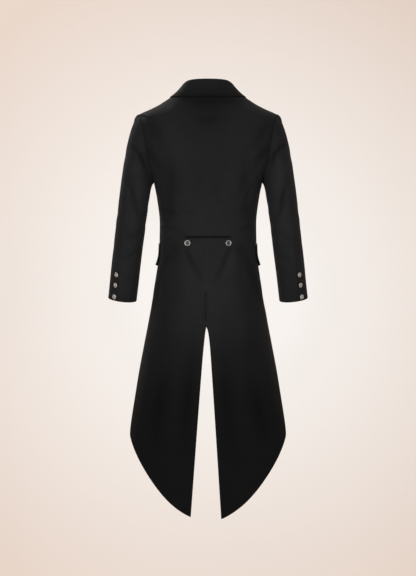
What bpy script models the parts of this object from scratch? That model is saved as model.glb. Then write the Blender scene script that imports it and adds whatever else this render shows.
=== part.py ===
# A long tailcoat, worn and filled out: a hollow coat of 2 mm cloth with a turned-down
# collar, notched lapels, two-piece sleeves with buttoned cuff vents, a front that ends at
# the waist and two long tails that part at a centre vent.
# Metres, +Z up. The wearer faces -Y, so the back is at +Y and their left side at +X.
# The origin is the middle of the neck opening, at the height of the shoulders' neck points.

import math
from bisect import bisect_right
from collections import namedtuple
from functools import lru_cache

import bmesh
import bpy
from mathutils import Quaternion, Vector
from mathutils.bvhtree import BVHTree

# Driving dimensions
WALL = 0.0020  # the cloth with its canvas, as one wall
SEAM = 0.0004  # what parts two pieces that are sewn together
LAY = 0.0009  # air under a piece that lies on another
SHOULDER_HALF = 0.214  # middle of the back to the shoulder point
SHOULDER_Z = -0.059
NECK_HALF = 0.088
NECK_Z = 0.009
UNDERARM_Z = -0.273
UNDERARM_ANGLE = math.radians(93)
COLLAR_TOP_Z = 0.0505
WAIST_BACK_Z = -0.434
WAIST_FRONT_DROP = 0.066
BACK_LIP_Z = -0.440  # the back's raised lower edge, which laps the tails
BACK_WAIST_HALF = 0.076
BREAK_Z = -0.322  # where the lapels start to turn out
FRONT_LAP = 0.018  # how far each front passes the middle
VENT_TOP_Z = -0.7195
VENT_SPRING = 0.009  # the height over which the vent opens
TAIL_CORNER = (0.2445, -1.048)  # across, height
TIPS = {1: (0.0535, -1.3055), -1: (0.0410, -1.3120)}  # the tails' points, left and right
FRONT_POINT_ANGLE = math.radians(128)  # where the tails leave the waist seam
FLAP_BOTTOM_Z = -0.5265
BACK_BUTTON = (0.0628, -0.4600)
FRONT_BUTTON_HEIGHTS = (-0.350, -0.405, -0.460)
CUFF_BUTTON_HEIGHTS = (-0.5615, -0.5935, -0.6298)
BIG_BUTTON_RADIUS = 0.0092
CUFF_BUTTON_RADIUS = 0.0074
CUFF_BUTTON_LEAN = math.radians(20)  # how far the cuff buttons tip out on their shanks
BUTTON_STAND = 0.0022  # the length of a button's shank
SHANK_RADIUS = 0.0017

# The filled coat's body, a row for each height: half its width, how far the back and the
# front stand from the shoulder line, and how square the section is (2 is an ellipse)
Section = namedtuple("Section", "height half_width back front squareness")
BODY = [
    Section(-1.330, 0.300, 0.152, 0.160, 2.20),
    Section(-1.180, 0.285, 0.149, 0.156, 2.20),
    Section(-1.048, 0.262, 0.145, 0.151, 2.25),
    Section(-0.933, 0.234, 0.140, 0.147, 2.25),
    Section(-0.840, 0.2135, 0.136, 0.142, 2.30),
    Section(-0.748, 0.1940, 0.132, 0.136, 2.30),
    Section(-0.655, 0.1760, 0.127, 0.130, 2.30),
    Section(-0.600, 0.1670, 0.122, 0.125, 2.30),
    Section(-0.550, 0.1590, 0.115, 0.120, 2.30),
    Section(-0.490, 0.1502, 0.102, 0.112, 2.30),
    Section(-0.440, 0.1498, 0.092, 0.108, 2.30),
    Section(-0.395, 0.1490, 0.092, 0.110, 2.30),
    Section(-0.335, 0.1555, 0.108, 0.119, 2.35),
    Section(-0.275, 0.1665, 0.124, 0.126, 2.50),
    Section(-0.200, 0.1935, 0.131, 0.127, 2.65),
    Section(-0.150, 0.2060, 0.129, 0.122, 2.60),
    Section(-0.105, 0.2150, 0.121, 0.114, 2.40),
    Section(-0.080, 0.2165, 0.115, 0.109, 2.20),
    Section(-0.059, 0.2140, 0.107, 0.104, 2.00),
    Section(-0.050, 0.1925, 0.103, 0.100, 2.00),
    Section(-0.040, 0.1710, 0.098, 0.096, 2.00),
    Section(-0.031, 0.1530, 0.091, 0.090, 2.00),
    Section(-0.013, 0.1255, 0.079, 0.078, 2.00),
    Section(-0.002, 0.1070, 0.070, 0.068, 2.00),
    Section(0.009, NECK_HALF, 0.064, 0.058, 2.00),
    Section(0.020, 0.070, 0.056, 0.050, 2.00),
]

# The filled sleeve, a row for each height of its middle line
Ring = namedtuple("Ring", "height centre_x centre_y half_width half_depth")
SLEEVE = [
    Ring(-0.300, 0.2265, 0.004, 0.0465, 0.070),
    Ring(-0.360, 0.2343, 0.006, 0.0455, 0.066),
    Ring(-0.430, 0.2430, 0.004, 0.0452, 0.061),
    Ring(-0.500, 0.2514, -0.005, 0.0448, 0.056),
    Ring(-0.570, 0.2595, -0.018, 0.0444, 0.052),
    Ring(-0.632, 0.2664, -0.031, 0.0440, 0.049),
]

# The collar, a row for each place along its half from the middle of the back to its
# front end: where the fold runs, where the outer edge lies, as an angle round the body
# and a height, and how far the fall bulges between them
Turn = namedtuple("Turn", "along fold_x fold_y fold_z edge_angle edge_height belly")
COLLAR = [
    Turn(0.00, 0.000, 0.0600, COLLAR_TOP_Z, 0, -0.0050, 0.0030),
    Turn(0.16, 0.0335, 0.0560, 0.0498, 28, -0.0050, 0.0030),
    Turn(0.32, 0.0585, 0.0420, 0.0462, 55, -0.0050, 0.0015),
    Turn(0.48, 0.0755, 0.0170, 0.0350, 78, -0.0055, -0.0020),
    Turn(0.62, 0.0825, -0.0160, 0.0220, 95, -0.0085, -0.0020),
    Turn(0.78, 0.0820, -0.0560, 0.0030, 109, -0.0180, 0.0015),
    Turn(0.90, 0.0770, -0.0830, -0.0230, 116, -0.0290, 0.0030),
    Turn(1.00, 0.0715, -0.0975, -0.0450, 121, -0.0400, 0.0030),
]

# Soft troughs and ridges in the cloth, each along a bent line seen from behind, given as
# across and height at its start, middle and end
Fold = namedtuple("Fold", "start middle end depth spread")
TAIL_FOLDS = [
    Fold((0.062, -0.466), (0.044, -0.528), (0.014, -0.592), 0.0042, 0.0095),
    Fold((0.018, -0.500), (0.026, -0.560), (0.034, -0.640), -0.0016, 0.0160),
    Fold((0.070, -0.480), (0.075, -0.600), (0.082, -0.760), -0.0020, 0.0200),
]
SLEEVE_FOLDS = [
    Fold((0.2430, -0.150), (0.2060, -0.182), (0.1850, -0.245), 0.0046, 0.0115),
    Fold((0.2470, -0.225), (0.2420, -0.322), (0.2040, -0.392), 0.0046, 0.0125),
    Fold((0.2190, -0.230), (0.2200, -0.290), (0.2120, -0.330), -0.0020, 0.0140),
]
FLUTE_DEPTH = 0.0045  # the tails' upright waves, at the hem
FLUTE_ANGLES = (14, 39, 66)  # the waves' crests, in degrees round the body
FLUTE_WIDTH = math.radians(11)

CLOTH = ("coat_cloth", (0.012, 0.012, 0.013, 1), 0.82, 0.0)
METAL = ("button_metal", (0.42, 0.42, 0.41, 1), 0.34, 1.0)

# Grid counts
SIDE_ROWS = 8  # waist to underarm, and the side-back seam
ARMHOLE_BACK_ROWS = 6
ARMHOLE_UNDER_ROWS = 4
SHOULDER_COLUMNS = 10
BACK_COLUMNS = 14
TAIL_COLUMNS = 18
TAIL_ROWS = 26
CAP_ROWS = 7
ARM_ROWS = 11
HINDARM = 4  # columns from the shoulder point to the sleeve's seams, behind and in front
FOREARM = -7


def clear_scene():
    for thing in list(bpy.data.objects):
        bpy.data.objects.remove(thing)


def material(name, colour, roughness, metallic):
    made = bpy.data.materials.get(name) or bpy.data.materials.new(name)
    made.use_nodes = True
    shader = made.node_tree.nodes["Principled BSDF"]
    shader.inputs["Base Color"].default_value = colour
    shader.inputs["Roughness"].default_value = roughness
    shader.inputs["Metallic"].default_value = metallic
    return made


def eased(share):
    share = min(max(share, 0.0), 1.0)
    return share * share * (3 - 2 * share)


def between(rows, place):
    """The rows' other columns at this place of their first column, on a smooth curve."""
    k = min(max(bisect_right([row[0] for row in rows], place) - 1, 0), len(rows) - 2)
    step = rows[k + 1][0] - rows[k][0]
    s = (place - rows[k][0]) / step

    def rise(i, column):
        return (rows[i + 1][column] - rows[i][column]) / (rows[i + 1][0] - rows[i][0])

    def slope(i, column):
        if i in (0, len(rows) - 1):
            return rise(min(i, len(rows) - 2), column)
        before, after = rise(i - 1, column), rise(i, column)
        return 2 * before * after / (before + after) if before * after > 0 else 0.0

    found = []
    for column in range(1, len(rows[0])):
        a, b = rows[k][column], rows[k + 1][column]
        ma, mb = slope(k, column) * step, slope(k + 1, column) * step
        cubic = (2 * a - 2 * b + ma + mb, -3 * a + 3 * b - 2 * ma - mb, ma, a)
        found.append(((cubic[0] * s + cubic[1]) * s + cubic[2]) * s + cubic[3])
    return found


@lru_cache(maxsize=None)
def section(height):
    return between(BODY, height)


def body_point(angle, height):
    """A point of the body: angle 0 is the middle of the back, 90 degrees the wearer's left."""
    half_width, back, front, squareness = section(height)
    across, along = math.sin(angle), math.cos(angle)
    depth = back if along >= 0 else front
    reach = (abs(across) / half_width) ** squareness + (abs(along) / depth) ** squareness
    radius = reach ** (-1 / squareness)
    return Vector((radius * across, radius * along, height))


def body_normal(angle, height):
    tiny = 1e-4
    up = body_point(angle, height + tiny) - body_point(angle, height - tiny)
    round_ = body_point(angle + tiny, height) - body_point(angle - tiny, height)
    return up.cross(round_).normalized()


def angle_at(across, height, front=False):
    """The angle at which the body reaches this far across."""
    half_width, back, front_depth, squareness = section(height)
    share = min(abs(across) / half_width, 1.0)
    depth = (front_depth if front else back) * (1 - share**squareness) ** (1 / squareness)
    return math.atan2(across, -depth if front else depth)


def waist_height(angle):
    return WAIST_BACK_Z - WAIST_FRONT_DROP * (abs(angle) / math.pi) ** 1.5


def bent(start, middle, end, s):
    """A point of the curve that leaves start, heads for middle and comes to end."""
    return tuple(
        (1 - s) ** 2 * a + 2 * s * (1 - s) * b + s * s * c
        for a, b, c in zip(start, middle, end)
    )


def steps(count):
    return [k / count for k in range(count + 1)]


# Seams. Each is a list of (angle, height) places on the body, shared by the two pieces
# that it joins, so that their edges match.


def side_back_seam():
    """From the waist seam, beside the back buttons, up and out to the armhole."""
    foot = waist_height(angle_at(BACK_WAIST_HALF, WAIST_BACK_Z))
    places = []
    for s in steps(SIDE_ROWS):
        across, height = bent((BACK_WAIST_HALF, foot), (0.098, -0.300), (0.1865, -0.200), s)
        places.append((angle_at(across, height), height))
    return places


def side_seam():
    foot = waist_height(UNDERARM_ANGLE)
    return [
        (UNDERARM_ANGLE, foot + (UNDERARM_Z - foot) * s) for s in steps(SIDE_ROWS)
    ]


def armhole(front):
    """From the shoulder point down to the underarm, by the back or by the front."""
    join = (0.180, -0.198) if front else (0.1865, -0.200)
    middle = (0.190, -0.100) if front else (0.197, -0.108)
    places = []
    for s in steps(ARMHOLE_BACK_ROWS):
        across, height = bent((SHOULDER_HALF, SHOULDER_Z), middle, join, s)
        places.append((angle_at(across, height, front), height))
    places[0] = (math.pi / 2, SHOULDER_Z)
    turn, top = places[-1]
    for s in steps(ARMHOLE_UNDER_ROWS)[1:]:
        bend = s * math.pi / 2
        angle = UNDERARM_ANGLE - (UNDERARM_ANGLE - turn) * math.cos(bend)
        places.append((angle, top + (UNDERARM_Z - top) * math.sin(bend)))
    return places


def shoulder_seam():
    """Along the ridge of the shoulder, from its point to the neck."""
    return [
        (math.pi / 2, SHOULDER_Z + (NECK_Z - SHOULDER_Z) * s)
        for s in steps(SHOULDER_COLUMNS)
    ]


def front_neck(s):
    """The front's neckline, from the shoulder seam down to the lapel's fold."""
    across = NECK_HALF - 0.0165 * s**1.4
    height = NECK_Z - (NECK_Z + 0.045) * s**1.2
    return (angle_at(across, height, True), height)


def fold_place(s):
    """The lapel's fold, from its break at the front edge up to the neck."""
    across = -FRONT_LAP + (NECK_HALF - 0.0165 + FRONT_LAP) * s
    height = BREAK_Z + (-0.045 - BREAK_Z) * s
    angle = angle_at(across, height, True)
    return (angle + (2 * math.pi if angle < 0 else 0), height)


def front_edge():
    """From the front's lower corner up its edge and the lapel's fold to the neck."""
    rows = SIDE_ROWS + ARMHOLE_UNDER_ROWS + ARMHOLE_BACK_ROWS
    neck_rows, edge_rows = 6, 5
    fold_rows = rows - neck_rows - edge_rows
    foot = waist_height(math.pi)
    places = []
    for s in steps(edge_rows):
        height = foot + (BREAK_Z - foot) * s
        places.append((angle_at(-FRONT_LAP, height, True) + 2 * math.pi, height))
    places += [fold_place(s) for s in steps(fold_rows)[1:]]
    places += [front_neck((1 - s) ** 1.4) for s in steps(neck_rows)[1:]]
    places[-1] = (math.pi / 2, NECK_Z)
    return places


def shares(places):
    """How far along each place of a list lies, as a share of its length."""
    points = [body_point(*place) for place in places]
    run = [0.0]
    for a, b in zip(points, points[1:]):
        run.append(run[-1] + (b - a).length)
    return [r / run[-1] for r in run]


def patch(south, north, west, east):
    """A four-sided piece of the body between its edges, as rows of (angle, height)."""
    across = [(a + b) / 2 for a, b in zip(shares(south), shares(north))]
    along = [(a + b) / 2 for a, b in zip(shares(west), shares(east))]
    rows = []
    for j, v in enumerate(along):
        row = []
        for i, u in enumerate(across):
            place = [
                (1 - v) * south[i][k]
                + v * north[i][k]
                + (1 - u) * west[j][k]
                + u * east[j][k]
                - (1 - u) * (1 - v) * south[0][k]
                - u * (1 - v) * south[-1][k]
                - (1 - u) * v * north[0][k]
                - u * v * north[-1][k]
                for k in (0, 1)
            ]
            row.append(tuple(place))
        rows.append(row)
    return rows


def trimmed(points, gap=SEAM / 2):
    """The grid with each of its four edges drawn in by half a seam."""
    rows = [list(row) for row in points]
    for row in rows:
        for edge, inner in ((0, 1), (-1, -2)):
            row[edge] = row[edge] + (row[inner] - row[edge]).normalized() * gap
    for i in range(len(rows[0])):
        for edge, inner in ((0, 1), (-1, -2)):
            move = (rows[inner][i] - rows[edge][i]).normalized() * gap
            rows[edge][i] = rows[edge][i] + move
    return rows


def grid_normals(points):
    """Normals of a grid from its own neighbours, to the left of its rows' direction."""
    last_row, last_column = len(points) - 1, len(points[0]) - 1
    normals = []
    for j, row in enumerate(points):
        found = []
        for i in range(len(row)):
            along = points[min(j + 1, last_row)][i] - points[max(j - 1, 0)][i]
            across = row[min(i + 1, last_column)] - row[max(i - 1, 0)]
            found.append(along.cross(across).normalized())
        normals.append(found)
    return normals


def wall(name, points, normals, look=CLOTH, side=1, thickness=WALL):
    """Cloth of one thickness whose middle runs through the grid of points."""
    rows, columns = len(points) - 1, len(points[0]) - 1
    bm = bmesh.new()
    bmesh.ops.create_grid(bm, x_segments=columns, y_segments=rows, size=0.5)
    bmesh.ops.solidify(bm, geom=bm.faces[:], thickness=1.0)
    bmesh.ops.recalc_face_normals(bm, faces=bm.faces[:])
    middle = sum(v.co.z for v in bm.verts) / len(bm.verts)
    for vert in bm.verts:
        i = round((vert.co.x + 0.5) * columns)
        j = round((vert.co.y + 0.5) * rows)
        out = thickness / 2 if vert.co.z > middle else -thickness / 2
        place = points[j][i] + normals[j][i] * out
        vert.co = (place.x * side, place.y, place.z)
    if bm.calc_volume(signed=True) < 0:
        bmesh.ops.reverse_faces(bm, faces=bm.faces[:])
    mesh = bpy.data.meshes.new(name)
    bm.to_mesh(mesh)
    bm.free()
    mesh.shade_smooth()
    mesh.set_sharp_from_angle(angle=math.radians(50))
    mesh.materials.append(material(*look))
    made = bpy.data.objects.new(name, mesh)
    bpy.context.scene.collection.objects.link(made)
    return made


def relaxed(points, times=2):
    """The grid with its inner points drawn towards their neighbours, its edges kept."""
    for _ in range(times):
        before = [list(row) for row in points]
        for j in range(1, len(points) - 1):
            for i in range(1, len(points[0]) - 1):
                around = before[j - 1][i] + before[j + 1][i] + before[j][i - 1] + before[j][i + 1]
                points[j][i] = (before[j][i] + around / 4) / 2
    return points


def panel(name, places, lift=None, side=1, trim=SEAM / 2):
    """A piece of cloth on the body, moved out by lift(angle, point)."""
    points = trimmed([[body_point(*place) for place in row] for row in places], trim)
    if not lift:
        points = relaxed(points)
    normals = [[body_normal(*place) for place in row] for row in places]
    if lift:
        for j, row in enumerate(places):
            for i, (angle, _) in enumerate(row):
                points[j][i] += normals[j][i] * lift(angle, points[j][i])
    return wall(name, points, normals, side=side)


def fold_depth(folds, across, height):
    """How far the folds draw the cloth in here, seen from behind."""
    total = 0.0
    for fold in folds:
        nearest, reach = 1e9, 0.0
        for s in steps(16):
            x, z = bent(fold.start, fold.middle, fold.end, s)
            gap = math.hypot(across - x, height - z)
            if gap < nearest:
                nearest, reach = gap, s
        fade = 0.35 + 0.65 * math.sin(math.pi * reach)
        total += fold.depth * fade * math.exp(-((nearest / fold.spread) ** 2) / 2)
    return total


# The coat's body


def back_lift(angle, point):
    """The back's lower edge stands out to lap the tails, and is flush at its side seams."""
    lapping = 1 - min(abs(point.x) / 0.0775, 1.0) ** 10
    return (WALL + LAY + 0.0007) * lapping * eased((-0.396 - point.z) / 0.030)


def make_back():
    seam = side_back_seam()
    share = (BACK_LIP_Z + 0.003 - seam[0][1]) / (seam[1][1] - seam[0][1])
    above_lip = (seam[0][0] + (seam[1][0] - seam[0][0]) * share, BACK_LIP_Z + 0.003)
    rise = armhole(front=False)[: ARMHOLE_BACK_ROWS + 1][::-1]
    left = [seam[0], above_lip] + seam[1:] + rise[1:] + shoulder_seam()[1:]
    right = [(-angle, height) for angle, height in left]
    south = [(seam[0][0] * (2 * s - 1), BACK_LIP_Z) for s in steps(BACK_COLUMNS)]
    south[0], south[-1] = (-seam[0][0], seam[0][1]), seam[0]
    north = [
        (math.pi / 2 * (2 * s - 1), NECK_Z - 0.003 * math.sin(math.pi * s))
        for s in steps(BACK_COLUMNS)
    ]
    return panel("back", patch(south, north, right, left), back_lift)


def make_side_body(name, side):
    back_edge, front_edge_ = side_back_seam(), side_seam()
    first, last = back_edge[0][0], UNDERARM_ANGLE
    south = []
    for s in steps(ARMHOLE_UNDER_ROWS):
        angle = first + (last - first) * s
        south.append((angle, waist_height(angle)))
    south[0] = back_edge[0]
    north = armhole(front=False)[ARMHOLE_BACK_ROWS:]
    return panel(name, patch(south, north, back_edge, front_edge_), side=side)


def lap_lift(side):
    """The left front passes over the right one."""

    def lift(angle, point):
        if side < 0:
            return 0.0
        passing = eased((0.048 - point.x) / 0.024)
        below_break = eased((-0.205 - point.z) / 0.050)
        return (WALL + LAY) * passing * below_break

    return lift


def front_places():
    west = side_seam() + armhole(front=True)[::-1][1:]
    east = front_edge()
    first, last = UNDERARM_ANGLE, east[0][0]
    south = []
    for s in steps(SHOULDER_COLUMNS):
        angle = first + (last - first) * s
        south.append((angle, waist_height(min(angle, math.pi))))
    return patch(south, shoulder_seam(), west, east)


def make_front(name, side):
    return panel(name, front_places(), lap_lift(side), side)


# Lapels and collar


def lapel_places(side):
    """From the fold, column 0, to the outer edge, and from the break point up."""
    columns, rows = 6, 14
    # the right lapel comes out from under the left one
    first = 0.0 if side > 0 else 0.24
    fold = [fold_place(first + (1 - first) * s) for s in steps(rows)]
    foot, top = body_point(*fold[0]), body_point(*fold[-1])
    outer_foot = (foot.x + (0.019 if side > 0 else 0.011), foot.z + 0.004)
    outer_top = (0.1400, -0.0800)
    east = []
    for s in steps(rows):
        across, height = bent(outer_foot, (0.112, -0.190), outer_top, s)
        east.append((angle_at(across, height, True), height))
    south, north = [], []
    for s in steps(columns):
        south.append(tuple(a + (b - a) * s for a, b in zip(fold[0], east[0])))
        across = top.x + (outer_top[0] - top.x) * s
        height = -0.0485 + (outer_top[1] + 0.0485) * s + 0.004 * math.sin(math.pi * s)
        north.append((angle_at(across, height, True), height))
    return patch(south, north, fold[:-1] + [north[0]], east)


def lapel_lift(side):
    under = lap_lift(side)
    edge = [body_point(*fold_place(s)) for s in steps(40)]

    def lift(angle, point):
        away = min((point - spot).length for spot in edge)
        roll = 0.0035 * math.sin(math.pi * min(away / 0.085, 1.0))
        return under(angle, point) + WALL + LAY + roll

    return lift


def make_lapel(name, side):
    return panel(name, lapel_places(side), lapel_lift(side), side)


def collar_section(along):
    """The middle of the collar's cloth at one place: stand, fold and fall."""
    fold_x, fold_y, fold_z, edge_angle, edge_height, belly = between(COLLAR, along)
    fold = Vector((fold_x, fold_y, fold_z))
    split = 0.62
    if along <= split:
        angle = math.pi / 2 * along / split
        foot = body_point(angle, NECK_Z - 0.003 * math.cos(angle))
    else:
        place = front_neck((along - split) / (1 - split))
        foot = body_point(*place)
        foot += body_normal(*place) * (WALL + LAY) * eased((along - split) / 0.2)
    foot.z += WALL / 2 + 2 * SEAM
    edge_angle = math.radians(edge_angle)
    out = body_normal(edge_angle, edge_height)
    edge = body_point(edge_angle, edge_height) + out * (WALL + LAY + 0.0006)
    crest = (-(foot - fold).normalized() - (edge - fold).normalized()).normalized()
    aside = edge - foot
    aside = (aside - crest * aside.dot(crest)).normalized()
    radius = 0.0024
    heart = fold - crest * radius
    points = [foot, foot.lerp(heart - aside * radius, 0.55)]
    for turn in (180, 126, 54, 0):
        bend = math.radians(turn)
        points.append(heart + aside * radius * math.cos(bend) + crest * radius * math.sin(bend))
    start = points[-1]
    for s in (0.28, 0.52, 0.76, 1.0):
        points.append(start.lerp(edge, s) + aside * belly * math.sin(math.pi * s))
    return points


def make_collar():
    half = 12
    left = [collar_section(s) for s in steps(half)]
    mirrored = [[Vector((-p.x, p.y, p.z)) for p in row] for row in left[1:]][::-1]
    points = mirrored + left
    normals = [[-n for n in row] for row in grid_normals(points)]
    return wall("collar", points, normals)


# Sleeves


def arm_direction(height):
    tiny = 0.004
    top, bottom = between(ARM, -height + tiny), between(ARM, -height - tiny)
    run = Vector((top[0] - bottom[0], top[1] - bottom[1], -2 * tiny))
    return run.normalized()


ARM = [Ring(-ring[0], *ring[1:]) for ring in SLEEVE]


def arm_point(turn, height):
    """A point of the sleeve: turn 0 is its outer side, 90 degrees its back."""
    centre_x, centre_y, half_width, half_depth = between(ARM, -height)
    down = arm_direction(height)
    outward = (Vector((1, 0, 0)) - down * down.x).normalized()
    rear = outward.cross(down).normalized()
    if rear.y < 0:
        rear = -rear
    squareness = 2.25
    across, along = math.cos(turn), math.sin(turn)
    reach = (abs(across) / half_width) ** squareness + (abs(along) / half_depth) ** squareness
    radius = reach ** (-1 / squareness)
    centre = Vector((centre_x, centre_y, height))
    return centre + outward * radius * across + rear * radius * along


def armhole_loop():
    """The sleeve's upper edge, just off the armhole: column 0 is the shoulder point."""
    back, front = armhole(front=False), armhole(front=True)
    places = back + front[::-1][1:-1]
    off = WALL / 2 + 2 * SEAM
    return [body_point(*place) + body_normal(*place) * off for place in places]


def cap_point(start, end, depart, arrive, s):
    reach = (end - start).length
    leaving, coming = depart * reach * 0.45, arrive * reach
    return (
        start * (2 * s**3 - 3 * s**2 + 1)
        + leaving * (s**3 - 2 * s**2 + s)
        + end * (3 * s**2 - 2 * s**3)
        + coming * (s**3 - s**2)
    )


def sleeve_points():
    """Rows from the cuff's hem up to the armhole, and columns all round the arm."""
    loop = armhole_loop()
    count = len(loop)
    top, hem = SLEEVE[0].height, SLEEVE[-1].height
    arm_rows = []
    for s in steps(ARM_ROWS):
        height = hem + (top - hem) * s
        arm_rows.append([arm_point(2 * math.pi * k / count, height) for k in range(count)])
    down = arm_direction(top)
    cap_rows = []
    for s in steps(CAP_ROWS)[1:]:
        row = []
        for k, start in enumerate(loop):
            over = (1 + math.cos(2 * math.pi * k / count)) / 2
            depart = Vector((1, 0, -0.20 - 0.28 * over)).normalized()
            row.append(cap_point(start, arm_rows[-1][k], depart, down, (1 - s) ** 1.35))
        cap_rows.append(row)
    rows = arm_rows + cap_rows
    folded = []
    for row in rows:
        middle = sum(row, Vector()) / count
        new = []
        for point in row:
            behind = eased((point.y - middle.y) / 0.03)
            depth = fold_depth(SLEEVE_FOLDS, point.x, point.z) * behind
            new.append(point + (middle - point).normalized() * depth)
        folded.append(new)
    folded[-1] = rows[-1]
    return folded


def make_sleeve(name_top, name_under, side):
    rows = sleeve_points()
    count = len(rows[0])

    def ring_normals():
        closed = [[row[-1]] + row + [row[0]] for row in rows]
        return [row[1:-1] for row in grid_normals(closed)]

    normals = ring_normals()
    under = list(range(HINDARM, count + FOREARM + 1))
    top = list(range(count + FOREARM, count + HINDARM + 1))
    made = []
    for name, columns in ((name_top, top), (name_under, under)):
        points = trimmed([[row[k % count] for k in columns] for row in rows], SEAM * 0.8)
        outs = [[row[k % count] for k in columns] for row in normals]
        if name == name_top:
            for j in range(len(points)):
                reach = eased((-0.500 - points[j][-1].z) / 0.045)
                for i, share in ((-1, 1.0), (-2, 0.7), (-3, 0.2)):
                    points[j][i] += outs[j][i] * 0.0014 * share * reach
        made.append(wall(name, points, [[-n for n in row] for row in outs], side=side))
    return made


# Tails and flaps


def vent_across(height, side):
    """Where a tail's inner edge runs: closed above the vent, apart below it."""
    closed = [(0.425, 0.0015), (0.500, 0.0040), (0.6045, 0.0095), (-VENT_TOP_Z, 0.0050)]
    apex = closed[-1][1] * side
    if height > VENT_TOP_Z:
        return between(closed, -height)[0] * side
    tip_across, tip_height = TIPS[side]
    drop = VENT_TOP_Z - height
    share = drop / (VENT_TOP_Z - tip_height)
    spring = (0.0036 if side > 0 else 0.0068) * (1 - math.exp(-drop / VENT_SPRING))
    return apex + spring * (1 - share) + (tip_across - apex) * share**0.95


def hem_place(s, side):
    """The tail's curved hem, from its tip out to its corner."""
    corners = (TIPS[side], (0.1642, -1.2608), (0.2424, -1.0819), TAIL_CORNER)
    return tuple(
        (1 - s) ** 3 * a + 3 * s * (1 - s) ** 2 * b + 3 * s * s * (1 - s) * c + s**3 * d
        for a, b, c, d in zip(*corners)
    )


def tail_edge(s):
    """The tail's front edge, from its corner up and round to the waist seam."""
    top = waist_height(FRONT_POINT_ANGLE)
    crossing = (0.1938, -0.748)
    height = TAIL_CORNER[1] + (top - TAIL_CORNER[1]) * s
    if height < crossing[1]:
        run = (height - crossing[1]) / (TAIL_CORNER[1] - crossing[1])
        across = crossing[0] + (TAIL_CORNER[0] - crossing[0]) * run
        across += 0.0150 * run * (1 - run)
        return (angle_at(across, height), height)
    climb = (height - crossing[1]) / (top - crossing[1])
    side = angle_at(*crossing)
    return (side + (FRONT_POINT_ANGLE - side) * climb**1.15, height)


def tail_places(side):
    """Columns lie closer near the vent, and rows near the waist, where the folds are,
    and round the vent's top."""
    columns = [s**1.35 for s in steps(TAIL_COLUMNS)]
    rows = [0.45 * s + 0.55 * (1 - (1 - s) ** 1.8) for s in steps(TAIL_ROWS)]
    foot = TIPS[side][1]
    reach = WAIST_BACK_Z - foot
    vent = min(range(len(rows)), key=lambda k: abs(foot + reach * rows[k] - VENT_TOP_Z))
    for step, height in ((1, VENT_SPRING * 0.6), (0, 0.0), (-1, -VENT_SPRING)):
        rows[vent + step] = (VENT_TOP_Z + height - foot) / reach
    top_angle = angle_at(vent_across(WAIST_BACK_Z, side), WAIST_BACK_Z)
    north = []
    for s in columns:
        angle = top_angle + (FRONT_POINT_ANGLE - top_angle) * s
        north.append((angle, waist_height(angle)))
    south = []
    for s in columns:
        across, height = hem_place(s, side)
        south.append((angle_at(across, height), height))
    west = []
    for s in rows:
        height = foot + reach * s
        west.append((angle_at(vent_across(height, side), height), height))
    east = [tail_edge(s) for s in rows]
    for _ in range(8):
        turns = [angle for angle, _ in east]
        for j in range(1, len(east) - 1):
            turn = (turns[j - 1] + 2 * turns[j] + turns[j + 1]) / 4
            east[j] = (turn, east[j][1])
    return patch(south, north, west, east)


def tail_lift(side):
    def lift(angle, point):
        across = abs(point.x)
        depth = fold_depth(TAIL_FOLDS, across, point.z) if point.y > 0 else 0.0
        growth = eased((-0.560 - point.z) / 0.60)
        flutes = 0.0
        for crest in FLUTE_ANGLES:
            away = (angle - math.radians(crest)) / FLUTE_WIDTH
            flutes += math.exp(-away * away) - 0.42
        top_out = eased((point.z - WAIST_BACK_Z + 0.030) / 0.030)
        return FLUTE_DEPTH * growth * flutes - depth * (1 - top_out)

    return lift


def make_tail(name, side):
    return panel(name, tail_places(side), tail_lift(side), side)


def make_flap(name, side):
    """A pocket flap, sewn in under the waist seam, that stands off at its foot."""
    columns, rows = 7, 5
    first, last = math.radians(83), math.radians(124)
    corner = 0.006

    def foot(s):
        angle = first + (last - first) * s
        top = waist_height(angle)
        round_ = corner * (abs(2 * s - 1) ** 8)
        return (angle, FLAP_BOTTOM_Z + (top - waist_height(first)) * 0.5 + round_)

    def head(s):
        angle = first + (last - first) * s
        return (angle, waist_height(angle) - 0.004)

    def lift(angle, point):
        drop = (waist_height(angle) - point.z) / 0.07
        return WALL + LAY + 0.0052 * max(drop, 0.0) ** 3

    south = [foot(s) for s in steps(columns)]
    north = [head(s) for s in steps(columns)]
    west = [tuple(a + (b - a) * s for a, b in zip(south[0], north[0])) for s in steps(rows)]
    east = [tuple(a + (b - a) * s for a, b in zip(south[-1], north[-1])) for s in steps(rows)]
    return panel(name, patch(south, north, west, east), lift, side)


# Buttons


def button_mesh(name, radius, sides):
    """A turned metal button: shank, flat back, rim, sunken ring and a low boss."""
    rim = radius * 0.26
    profile = [
        (0.0, 0.0),
        (SHANK_RADIUS, 0.0),
        (SHANK_RADIUS, BUTTON_STAND),
        (radius * 0.86, BUTTON_STAND),
        (radius, BUTTON_STAND + 0.0010),
        (radius * 0.96, BUTTON_STAND + 0.0026),
        (radius - rim, BUTTON_STAND + 0.0030),
        (radius - rim * 1.5, BUTTON_STAND + 0.0017),
        (radius * 0.26, BUTTON_STAND + 0.0019),
        (0.0, BUTTON_STAND + 0.0026),
    ]
    bm = bmesh.new()
    verts = [bm.verts.new((r, 0, h)) for r, h in profile]
    edges = [bm.edges.new(pair) for pair in zip(verts, verts[1:])]
    bmesh.ops.spin(
        bm, geom=verts + edges, axis=(0, 0, 1), cent=(0, 0, 0), angle=2 * math.pi,
        steps=sides, use_merge=True, use_duplicate=False,
    )
    bmesh.ops.remove_doubles(bm, verts=bm.verts[:], dist=1e-6)
    bmesh.ops.recalc_face_normals(bm, faces=bm.faces[:])
    mesh = bpy.data.meshes.new(name)
    bm.to_mesh(mesh)
    bm.free()
    mesh.shade_smooth()
    mesh.set_sharp_from_angle(angle=math.radians(35))
    mesh.materials.append(material(*METAL))
    return mesh


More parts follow.
